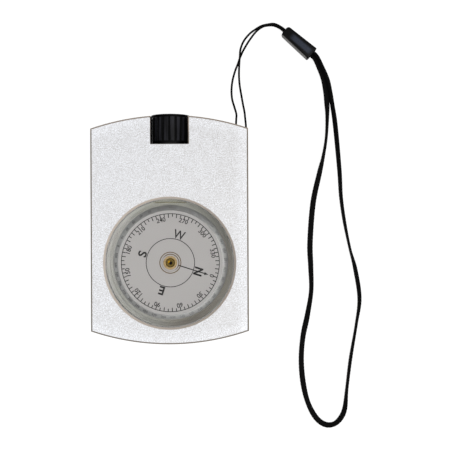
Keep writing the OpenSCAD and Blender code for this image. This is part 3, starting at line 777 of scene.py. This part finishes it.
in_mouth = BEAD_LENGTH / 2 - MOUTH_DEPTH
past_mouth = BEAD_LENGTH / 2 + CORD_LEAD
pin_centre = (pin_low + pin_high) / 2 / MM
string_route = [
    on_bead(-in_mouth, -STRING_PITCH / 2), on_bead(-past_mouth, -STRING_PITCH / 2),
    (35.4, 69.9, 1, 0), (33.3, 70.1, 0.4, 0), (31.3, 69.6, 0.3, 0), (29.2, 68, 0.3, 0),
    (27.1, 65.3, 0.3, 0), (25.7, 63.1, 0.4, 0), (24.5, 60.9, 0.8, 0), (23.6, 58.8, 1, 0),
    (22.9, 56.8, 0.8, 0), (22, 54.6, 0.3, 0), (21.1, 51.4, 0.3, 0), (20.7, 48, 0.3, 0),
    (20.9, 44.8, 0.5, 0), (21.7, 41.8, 1.3, 0), (22.3, 39.3, 2.6, 0), (22.2, 36.9, 3.9, 0),
    *[
        (pin_centre.x + STRING_BEND * math.cos(math.radians(angle)),
         pin_centre.y + STRING_BEND * math.sin(math.radians(angle)), STRING_BEND_HEIGHT, 0)
        for angle in range(180, 361, 45)
    ],
    (25.5, 35.3, 4.2, 0), (25.3, 37.8, 3.3, 0), (25.1, 40.1, 2.1, 0), (24.6, 43, 1, 0),
    (24, 46.6, 0.4, 0), (23.5, 49.8, 0.3, 0), (23.3, 53, 0.3, 0), (23.4, 56.4, 0.3, 0),
    (23.6, 59.4, 0.3, 0), (23.9, 62.2, 0.3, 0), (25.1, 65, 0.3, 0), (27.1, 67.4, 0.3, 0),
    (29.2, 68.9, 0.5, 0), (31.1, 69.9, 0.9, 0), (33.3, 70.4, 1, 0), (35.5, 70.4, 1.7, 0),
    on_bead(-past_mouth, STRING_PITCH / 2), on_bead(-in_mouth, STRING_PITCH / 2),
]
wrist_route = [
    on_bead(in_mouth, -CORD_PITCH / 2, CORD_LEAD_TURN),
    on_bead(past_mouth, -CORD_PITCH / 2, CORD_LEAD_TURN),
    (50.6, 55.6, 0.8, 48), (52.2, 51.6, 0.7, 36), (53.1, 47.3, 0.6, 22), (53.5, 43.5, 0.6, 15),
    (53.6, 38.7, 0.8, 50), (53.2, 31.3, 0.9, 70), (52.1, 24.6, 0.8, 57), (50.8, 19, 0.6, 22),
    (48.6, 8.8, 0.5, 0), (47.5, -4.7, 0.5, 0), (47.7, -13, 0.6, -28), (47.8, -21.2, 0.8, -48),
    (46.5, -29.5, 0.6, -28), (44.9, -37.2, 0.6, 18), (44.3, -45, 0.6, 15), (44.9, -52.9, 0.5, 5),
    (46.5, -59.7, 0.6, 28), (49.2, -64.9, 0.5, 3), (52.3, -67.3, 0.6, 12), (55.4, -67.2, 0.7, 42),
    (57.8, -65.1, 0.6, 28), (59.2, -61.7, 0.7, 40), (59.9, -55, 0.9, 75), (61.2, -44.8, 0.9, 71),
    (63.2, -33.2, 0.9, 84), (64.4, -23.9, 0.8, 57), (63, -13.9, 0.8, 55), (61.2, -6.9, 0.9, 90),
    (59.4, 2.1, 0.9, 72), (58.2, 10.9, 0.9, 63), (57.7, 20.1, 0.8, 50), (56.4, 35.2, 0.7, 41),
    (55.4, 42.3, 0.8, 49), (54.6, 47, 0.7, 42), (53.6, 51.4, 0.7, 36), (51.6, 56.2, 0.8, 48),
    on_bead(past_mouth, CORD_PITCH / 2, CORD_LEAD_TURN),
    on_bead(in_mouth, CORD_PITCH / 2, CORD_LEAD_TURN),
]

# From here on in metres: how far the routes are lifted off the floor, and the cords' lay
LIFT = 0.08 * MM
STRING_STEP = 0.13 * MM
STRING_SIDES = 12
TWIST_LENGTH = 1.6 * MM
TWIST_PLIES = 3
TWIST_VALLEY = 0.88
TWIST_RISE = 0.2
CORD_STEP = 0.22 * MM
CORD_SIDES = 32
MAP_GIRTH = 1.2 * CORD_WIDTH * MM
BRAID_STITCH = 1.15 * MM
BRAID_ROWS = 4
BRAID_DEPTH = 0.06 * MM
BRAID_SWELL = 0.6
BRAID_MIDDLE = 0.4


def smooth_route(route, step):
    """The route as a smooth line: points in metres with their turn in radians, a step apart."""
    marks = [Vector((x * MM, y * MM, z * MM + LIFT, math.radians(turn)))
             for x, y, z, turn in route]
    ends = [2 * marks[0] - marks[1], *marks, 2 * marks[-1] - marks[-2]]
    fine = []
    for before, start, end, after in zip(ends, ends[1:], ends[2:], ends[3:]):
        pieces = max(2, math.ceil((end - start).xyz.length / step))
        for i in range(pieces):
            t = i / pieces
            # A curve through the marks whose slope at each one comes from its neighbours
            fine.append(0.5 * (
                2 * start + (end - before) * t
                + (2 * before - 5 * start + 4 * end - after) * t ** 2
                + (3 * start - before - 3 * end + after) * t ** 3
            ))
    fine.append(marks[-1])
    return fine


def swept(line, sides, outline):
    """A closed tube along a line. The outline gives a point across it for a share and a length."""
    points = []
    runs = []
    run = 0.0
    last = len(line) - 1
    for i, mark in enumerate(line):
        ahead = (line[min(i + 1, last)] - line[max(i - 1, 0)]).xyz.normalized()
        side = ahead.cross(Vector((0, 0, 1))).normalized()
        lift = side.cross(ahead)
        turn = Matrix.Rotation(-mark.w, 3, ahead)
        side, lift = turn @ side, turn @ lift
        if i:
            run += (mark - line[i - 1]).xyz.length
        for k in range(sides):
            across, up = outline(k / sides, run)
            points.append(mark.xyz + side * across + lift * up)
        runs.append(run)
    faces = [tuple(range(sides - 1, -1, -1)), tuple(last * sides + k for k in range(sides))]
    for i in range(last):
        for k in range(sides):
            a = i * sides + k
            b = i * sides + (k + 1) % sides
            faces.append((a, b, b + sides, a + sides))
    piece = new_piece(points, faces)
    map_layer = piece.data.uv_layers.new(name="route")
    for polygon in piece.data.polygons[2:]:
        i, k = divmod(polygon.index - 2, sides)
        corners = ((k, i), (k + 1, i), (k + 1, i + 1), (k, i + 1))
        for loop, (around, ring) in zip(polygon.loop_indices, corners):
            map_layer.data[loop].uv = (around / sides * MAP_GIRTH, runs[ring])
    edit_all(piece)
    face_outwards()
    bpy.ops.object.shade_smooth()
    return piece


def braid_outline(share, run):
    """Across a flat braid: a flattened round whose plaits lie in slanting rows both ways."""
    angle = 2 * math.pi * share
    one_way = math.cos(math.pi * (BRAID_ROWS * share + run / BRAID_STITCH))
    other_way = math.cos(math.pi * (BRAID_ROWS * share - run / BRAID_STITCH))
    relief = BRAID_DEPTH * (abs(one_way * other_way) ** BRAID_SWELL - BRAID_MIDDLE)
    return ((CORD_WIDTH / 2 * MM + relief) * math.cos(angle),
            (CORD_THICKNESS / 2 * MM + relief) * math.sin(angle))


def twist_outline(share, run):
    """Across a twisted string: three plies that wind round each other."""
    angle = 2 * math.pi * share
    ply = abs(math.cos(TWIST_PLIES / 2 * (angle - 2 * math.pi * run / TWIST_LENGTH)))
    radius = STRING_WIDTH / 2 * MM * (TWIST_VALLEY + TWIST_RISE * ply ** 0.5)
    return radius * math.cos(angle), radius * math.sin(angle)


def make_cord(name, stands_for, slot, line, tube, light, fibre_size):
    """A cord in black nylon, in place of one of the frame's pieces."""
    settle(tube, name, braided_nylon(slot, light, fibre_size), "root")
    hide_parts(stands_for)
    sum((b - a).xyz.length for a, b in zip(line, line[1:]))


def make_cords():
    """The twisted string from the block to the bead, and the flat braid for the wrist."""
    line = smooth_route(string_route, STRING_STEP)
    make_cord("twisted_string", "lanyard_string", "string_cord", line,
              swept(line, STRING_SIDES, twist_outline), rgb(9, 8, 8), 0.05 * MM)
    line = smooth_route(wrist_route, CORD_STEP)
    make_cord("wrist_braid", "wrist_cord", "braided_cord", line,
              swept(line, CORD_SIDES, braid_outline), rgb(10, 9, 9), 0.07 * MM)


# Bead

BEAD_WIDTH_CORD = 5.0 * MM
BEAD_WIDTH_STRING = 3.9 * MM
BEAD_EDGE = 0.9 * MM
BEAD_END_EDGE = 0.32 * MM
BEAD_ROUND = 0.95 * MM
BEAD_ROUND_CUTS = (0.02, 0.08, 0.18, 0.32, 0.5, 0.72, 1.0)
BEAD_ROUND_HEIGHT = 0.28
BEAD_SMOOTH = math.radians(35)
BEAD_SEAM = 0.07 * MM
SEAM_LEAST = 3.6 * MM
MOUTH_WALL = 0.22 * MM
MOUTH_EDGE = 0.08 * MM
MOUTH_SHARE = 0.9
END_FLATNESS = 0.999

# Its finish, in its own frame: where a painted reflection runs along its top, and a painted pale
# reflection down its side
TOP_REFLECTION_LEVEL = (0.93, 0.995)
TOP_REFLECTION_HALF = (0.5 * MM, 1.3 * MM)
TOP_REFLECTION_START = (-3.9 * MM, -1.6 * MM)
TOP_REFLECTION_END = (4.4 * MM, 6 * MM)
SIDE_REFLECTION_LEVEL = (0.55, 0.85)
SIDE_REFLECTION_LEAST_LEVEL = 0.02
SIDE_REFLECTION_HALF = 5.6 * MM


def bead_plastic():
    """Black moulding, with a painted bluish reflection along its flat top and a painted grey
    reflection down one side.
    """
    finish = Finish("bead_plastic")
    angle = math.radians(BEAD_TURN)
    centre = Vector((BEAD.x * MM, BEAD.y * MM, 0))
    centre.rotate(Matrix.Rotation(-angle, 3, "Z"))
    here = finish.place(Location=tuple(-centre), Rotation=(0, 0, -angle))
    along, across, _ = finish.split(here)
    up = finish.facing_up()
    skin = finish.noise(here, SKIN_GRAIN)
    tone = finish.noise(here, 1.6 * MM) * 0.6 + skin * 0.4
    # Painted reflections: a bluish sheen along the flat top, and a pale grey one down one side
    top_reflection = (up.smooth(*TOP_REFLECTION_LEVEL) * abs(across).fade(*TOP_REFLECTION_HALF)
                * along.smooth(*TOP_REFLECTION_START) * along.fade(*TOP_REFLECTION_END))
    side_reflection = (across.below(0.0) * up.above(SIDE_REFLECTION_LEAST_LEVEL) * up.fade(*SIDE_REFLECTION_LEVEL)
               * abs(along).below(SIDE_REFLECTION_HALF))
    black = finish.blend(tone, rgb(1, 1, 1), rgb(7, 7, 8))
    blue = finish.blend(skin, rgb(34, 39, 49), rgb(52, 56, 66))
    grey = finish.blend(skin, rgb(66, 64, 62), rgb(136, 134, 132))
    return finish.done(
        Base_Color=finish.blend(side_reflection, finish.blend(top_reflection, black, blue), grey),
        Roughness=skin.swing(0.15) + 0.36, Specular_IOR_Level=0.08,
        Normal=finish.bump(skin, 0.006 * MM, 0.6))


def select_end_faces(bead):
    """Selects the flat faces at the bead's two ends."""
    bpy.ops.mesh.select_mode(type="FACE")
    shape = bmesh.from_edit_mesh(bead.data)
    for face in shape.faces:
        face.select = abs(face.normal.x) > END_FLATNESS
    shape.select_flush_mode()
    bmesh.update_edit_mesh(bead.data)


def bevel_edges(bead, wanted, **shape):
    """Bevels the edges of the bead that pass a test on their two ends."""
    bpy.ops.mesh.select_mode(type="EDGE")
    bpy.ops.mesh.select_all(action="DESELECT")
    mesh = bmesh.from_edit_mesh(bead.data)
    for edge in mesh.edges:
        edge.select = wanted(edge.verts[0].co, edge.verts[1].co)
    bmesh.update_edit_mesh(bead.data)
    bpy.ops.mesh.bevel(affect="EDGES", **shape)


def round_end(bead, end):
    """Cuts across the bead near the string's end, drawn in so that its corners are round."""
    for share in BEAD_ROUND_CUTS:
        bpy.ops.mesh.select_all(action="SELECT")
        bpy.ops.mesh.bisect(plane_co=(end + share * BEAD_ROUND, 0, 0), plane_no=(1, 0, 0))
    shape = bmesh.from_edit_mesh(bead.data)
    for vertex in shape.verts:
        inwards = BEAD_ROUND - (vertex.co.x - end)
        if inwards > 0:
            drawn = 1 - math.sqrt(max(0.0, 1 - (inwards / BEAD_ROUND) ** 2))
            vertex.co.y *= 1 - drawn * BEAD_ROUND / (BEAD_WIDTH_STRING / 2)
            vertex.co.z *= 1 - drawn * BEAD_ROUND_HEIGHT
    bmesh.update_edit_mesh(bead.data)


def make_bead():
    """A tapered bead with round edges, a moulding seam and a mouth at each end."""
    length = BEAD_LENGTH * MM
    clear_selection()
    bpy.ops.mesh.primitive_cube_add(size=1)
    bead = bpy.context.object
    bead.scale = (length, BEAD_WIDTH_CORD, bead_high.z - bead_low.z)
    bpy.ops.object.transform_apply(location=False, rotation=False, scale=True)
    for vertex in bead.data.vertices:
        if vertex.co.x < 0:
            vertex.co.y *= BEAD_WIDTH_STRING / BEAD_WIDTH_CORD
    bpy.ops.object.mode_set(mode="EDIT")
    bevel_edges(bead, lambda a, b: a.x * b.x < 0, offset=BEAD_EDGE, segments=10, profile=0.5)
    bevel_edges(bead, lambda a, b: min(a.x, b.x) > length / 2 - HAIR,
                offset=BEAD_END_EDGE, segments=4, profile=0.5)
    round_end(bead, -length / 2)

    # Mouths: the flat end faces drawn in, then sunk
    select_end_faces(bead)
    bpy.ops.mesh.inset(thickness=MOUTH_WALL, depth=0)
    bpy.ops.mesh.inset(thickness=MOUTH_EDGE, depth=-MOUTH_EDGE)
    bpy.ops.mesh.extrude_region_shrink_fatten(
        TRANSFORM_OT_shrink_fatten={"value": -MOUTH_SHARE * MOUTH_DEPTH * MM})

    # Seam: a cut round the middle, opened a little and drawn in
    bpy.ops.mesh.select_all(action="SELECT")
    bpy.ops.mesh.bisect(plane_co=(0, 0, 0), plane_no=(0, 0, 1))
    bevel_edges(bead, lambda a, b: max(abs(a.z), abs(b.z)) < WELD
                and abs(a.y) + abs(b.y) > SEAM_LEAST, offset=BEAD_SEAM, segments=2, profile=0.15)
    bpy.ops.mesh.select_all(action="SELECT")
    bpy.ops.mesh.remove_doubles(threshold=10 * WELD)
    face_outwards()
    bpy.ops.object.shade_smooth_by_angle(angle=BEAD_SMOOTH)
    bead.rotation_euler.z = math.radians(BEAD_TURN)
    bead.location = (BEAD.x * MM, BEAD.y * MM, (bead_low.z + bead_high.z) / 2)
    settle(bead, "joining_bead", bead_plastic(), "root")
    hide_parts("strap_bead")


# Print on the card and the index line

NORTH = math.radians(-17.8)
DEGREE_LINE = 16.31 * MM
INNER_CIRCLE = 8.05 * MM
LINE_WIDTH = 0.24 * MM
HUB_LINE_WIDTH = 0.3 * MM
TEN_TICK = 1.34 * MM
FIVE_TICK = 1.0 * MM
TICK_WIDTH = 0.28 * MM
FIGURE_CENTRE = 14.5 * MM
FIGURE_HEIGHT = 1.5 * MM
FIGURE_BOLD = 0.03 * MM
LETTER_CENTRE = 9.72 * MM
LETTER_HEIGHT = 2.9 * MM
# Letter, bearing, how much bolder than the typeface, and how much wider
LETTERS = (("N", 0, 0.11 * MM, 1.0), ("E", 90, 0.11 * MM, 1.0),
           ("S", 180, 0.09 * MM, 1.12), ("W", 270, 0.05 * MM, 0.87))
CAP_SHARE = 0.73
ARROW_START = 2.9 * MM
ARROW_HEAD = 11.85 * MM
ARROW_TIP = 13.3 * MM
ARROW_WIDTH = 0.36 * MM
HEAD_WIDTH = 1.0 * MM
INK = 0.02 * MM
SKIRT_FLARE = 1.8 * MM
SKIRT_FIGURE = 2.2 * MM
SKIRT_FIGURE_BOLD = 0.1 * MM
SKIRT_FIGURE_WIDTH = 0.4
SKIRT_FIGURE_SHARE = 0.5
SKIRT_TICK = 0.7 * MM
SKIRT_TICK_WIDTH = 0.12 * MM
SKIRT_TICK_FOOT = 0.15 * MM
INDEX_WIDTH = 0.12 * MM
INDEX_HEIGHT = 6.4 * MM


def card_angle(bearing):
    """Where a bearing of the card lies, turned from the block's X."""
    return NORTH - math.radians(bearing)


def circle(radius, width, count):
    """A circle of ink round the card's middle, on its face."""
    points = []
    for i in range(count):
        angle = 2 * math.pi * i / count
        for reach in (radius - width / 2, radius + width / 2):
            points.append((reach * math.cos(angle), reach * math.sin(angle), card_top))
    last = 2 * count
    faces = [(a, a + 1, (a + 3) % last, (a + 2) % last) for a in range(0, last, 2)]
    return new_piece(points, faces)


def mark_at(bearing, corners):
    """Ink on the card's face: its corners outwards and across, turned to a bearing."""
    turn = Matrix.Rotation(card_angle(bearing), 4, "Z")
    return new_piece([turn @ Vector((out, across, card_top)) for out, across in corners],
                     [tuple(range(len(corners)))])


def spoke(bearing, start, end, width):
    """A stroke along a radius."""
    half = width / 2
    return mark_at(bearing, [(start, half), (start, -half), (end, -half), (end, half)])


def lettering(text, height, bold, width=1.0):
    """A word as a flat mesh around its own middle, with capitals of a height and a set width."""
    clear_selection()
    bpy.ops.object.text_add()
    word = bpy.context.object
    word.data.body = text
    word.data.align_x = "CENTER"
    word.data.align_y = "CENTER"
    word.data.size = height / CAP_SHARE
    word.data.offset = bold
    word.data.resolution_u = 4
    bpy.ops.object.convert(target="MESH")
    word = bpy.context.object
    xs = [v.co.x for v in word.data.vertices]
    ys = [v.co.y for v in word.data.vertices]
    middle = Vector(((min(xs) + max(xs)) / 2, (min(ys) + max(ys)) / 2, 0))
    stretch = height / (max(ys) - min(ys))
    for vertex in word.data.vertices:
        vertex.co = (vertex.co - middle) * stretch
        vertex.co.x *= width
    return word


def lettering_at(bearing, radius, *style):
    """Lettering on the card's face, with its top outwards."""
    word = lettering(*style)
    angle = card_angle(bearing)
    turn = Matrix.Rotation(angle - math.pi / 2, 4, "Z")
    move = Matrix.Translation((radius * math.cos(angle), radius * math.sin(angle), card_top))
    word.data.transform(move @ turn)
    return word


def thickened(piece, low, high):
    """Flat ink as a thin closed layer between two heights."""
    edit_all(piece)
    bpy.ops.mesh.remove_doubles(threshold=WELD)
    bpy.ops.mesh.normals_make_consistent(inside=False)
    shape = bmesh.from_edit_mesh(piece.data)
    for vertex in shape.verts:
        vertex.co.z = low
    bmesh.update_edit_mesh(piece.data)
    bpy.ops.mesh.extrude_region_move(TRANSFORM_OT_translate={"value": (0, 0, high - low)})
    face_outwards()
    return piece


def print_on_card(ink, name, finish):
    """Puts ink that was drawn round the origin on the card."""
    ink.location = (capsule_centre.x, capsule_centre.y, 0)
    settle(ink, name, finish, "card")


def print_on_face(parts, name, finish):
    """Prints flat marks on the card's face."""
    print_on_card(thickened(joined(parts), card_top - INK / 4, card_top + INK), name, finish)


def make_dial_print():
    """Circles, ticks, figures, letters and the north arrow."""
    parts = [circle(radius, LINE_WIDTH, 180) for radius in (DEGREE_LINE, INNER_CIRCLE)]
    for bearing in range(0, 360, 5):
        length = FIVE_TICK if bearing % 10 else TEN_TICK
        parts.append(spoke(bearing, DEGREE_LINE - length, DEGREE_LINE, TICK_WIDTH))
    for bearing in range(0, 360, 30):
        parts.append(lettering_at(bearing, FIGURE_CENTRE, str(bearing), FIGURE_HEIGHT,
                                  FIGURE_BOLD))
    for letter, bearing, bold, width in LETTERS:
        parts.append(lettering_at(bearing, LETTER_CENTRE, letter, LETTER_HEIGHT, bold, width))
    head = [(ARROW_HEAD, -HEAD_WIDTH / 2), (ARROW_TIP, 0), (ARROW_HEAD, HEAD_WIDTH / 2)]
    parts += [spoke(0, ARROW_START, ARROW_HEAD, ARROW_WIDTH), mark_at(0, head)]
    print_on_face(parts, "dial_print", print_ink("dial_ink", rgb(16, 15, 15)))


def make_hub_circles():
    """Two thin brown circles round the hub."""
    parts = [circle(radius, HUB_LINE_WIDTH, 96) for radius in HUB_CIRCLES]
    print_on_face(parts, "hub_circles", worn_ink())


def make_skirt_print():
    """Sighting figures round the skirt, read from outside, and ticks along its foot."""
    foot = (card_high.x - card_low.x) / 2
    rise = card_high.z - card_low.z
    length = math.hypot(SKIRT_FLARE, rise)
    top = Vector((foot - SKIRT_FLARE, 0, card_top))
    slope = Vector((SKIRT_FLARE, 0, -rise)).normalized()
    out = Vector((rise, 0, SKIRT_FLARE)).normalized()
    # A mark's right is the way round, its top goes up the slope, its face looks out
    axes = Matrix((Vector((0, 1, 0)), -slope, out)).transposed().to_4x4()
    parts = []
    for bearing in range(0, 360, 5):
        marks = []
        if bearing % 10 == 0:
            seen = str((bearing + 180) % 360)
            word = lettering(seen, SKIRT_FIGURE, SKIRT_FIGURE_BOLD, SKIRT_FIGURE_WIDTH)
            marks.append((word, length * SKIRT_FIGURE_SHARE))
        tick = SKIRT_TICK / 2 if bearing % 10 else SKIRT_TICK
        x, y = SKIRT_TICK_WIDTH / 2, tick / 2
        corners = [(-x, -y, 0), (x, -y, 0), (x, y, 0), (-x, y, 0)]
        marks.append((new_piece(corners, [(0, 1, 2, 3)]), length - y - SKIRT_TICK_FOOT))
        for mark, down in marks:
            thickened(mark, 0.0, INK)
            turn = Matrix.Rotation(card_angle(bearing), 4, "Z")
            spot = Matrix.Translation(top + slope * down - out * INK / 4)
            mark.data.transform(turn @ spot @ axes)
            parts.append(mark)
    print_on_card(joined(parts), "skirt_print",
                  print_ink("skirt_ink", rgb(104, 103, 106), rgb(196, 196, 198)))


def make_index_line():
    """The index line that the sight reads against, scribed and inked on the flat facet."""
    half = INDEX_WIDTH / 2
    low = sight_z - INDEX_HEIGHT / 2
    high = sight_z + INDEX_HEIGHT / 2
    shape = [(-half, low), (half, low), (half, high - half), (0, high), (-half, high - half)]
    line = new_piece([(x, 0, z) for x, z in shape], [tuple(range(len(shape)))])
    edit_all(line)
    bpy.ops.mesh.extrude_region_move(TRANSFORM_OT_translate={"value": (0, INK, 0)})
    face_outwards()
    line.location = (0, capsule_centre.y + FACET_FROM_CENTRE, 0)
    settle(line, "index_line", print_ink("index_ink", rgb(24, 24, 25)), "root")


set_camera()
set_studio()
make_cords()
make_bead()
make_dial_print()
make_hub_circles()
make_skirt_print()
make_index_line()


# Finishes of the frame's own pieces

finishes = {
    "housing": blasted_aluminium(),
    "back_plate": satin_sheet(),
    "capsule_cover": clear_block("clear_acrylic", (0.976, 0.976, 0.968, 1), 1.47,
                                 inside_capsule, 0.05, facet_edge),
    "capsule_base": yellowed("base_plastic", 0.5, 0.5, (10 * MM, 20 * MM)),
    "capsule_seal": yellowed("seal_rubber", 0.75, 0.3, (6 * MM, 15 * MM)),
    "filler_plug": moulded_plastic("plug_plastic", rgb(150, 156, 146), rgb(128, 134, 126), 0.4),
    "retaining_ring": black_anodised(),
    "pivot_post": turned_brass("post_brass", rgb(212, 176, 112), rgb(150, 112, 58), 0.3),
    "pivot_needle": ground_steel("needle_steel", rgb(205, 206, 208), rgb(150, 151, 154)),
    "compass_card": printed_card(),
    "card_hub": hub_brass(),
    "jewel_cup": amber_jewel(),
    "card_magnet": ground_steel("magnet_steel", rgb(140, 141, 144), rgb(96, 97, 100)),
    "balance_weight": turned_brass("weight_brass", rgb(196, 160, 98), rgb(130, 98, 50), 0.4),
    "eyepiece_barrel": ribbed_plastic(),
    "eyepiece_lens": clear_block("lens_glass", (0.96, 0.98, 1.0, 1), 1.5),
    "lens_retainer": moulded_plastic("retainer_plastic", rgb(30, 30, 31), rgb(20, 20, 21), 0.5),
    "eyepiece_seal": rubber("o_ring_rubber", rgb(26, 26, 27), rgb(48, 48, 48)),
    "stop_screw": ground_steel("screw_steel", rgb(190, 191, 194), rgb(140, 141, 144)),
    "lanyard_pin": ground_steel("pin_steel", rgb(206, 206, 208), rgb(150, 150, 153)),
}
for node, finish in finishes.items():
    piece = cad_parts[node]
    piece.data.materials.clear()
    piece.data.materials.append(finish)
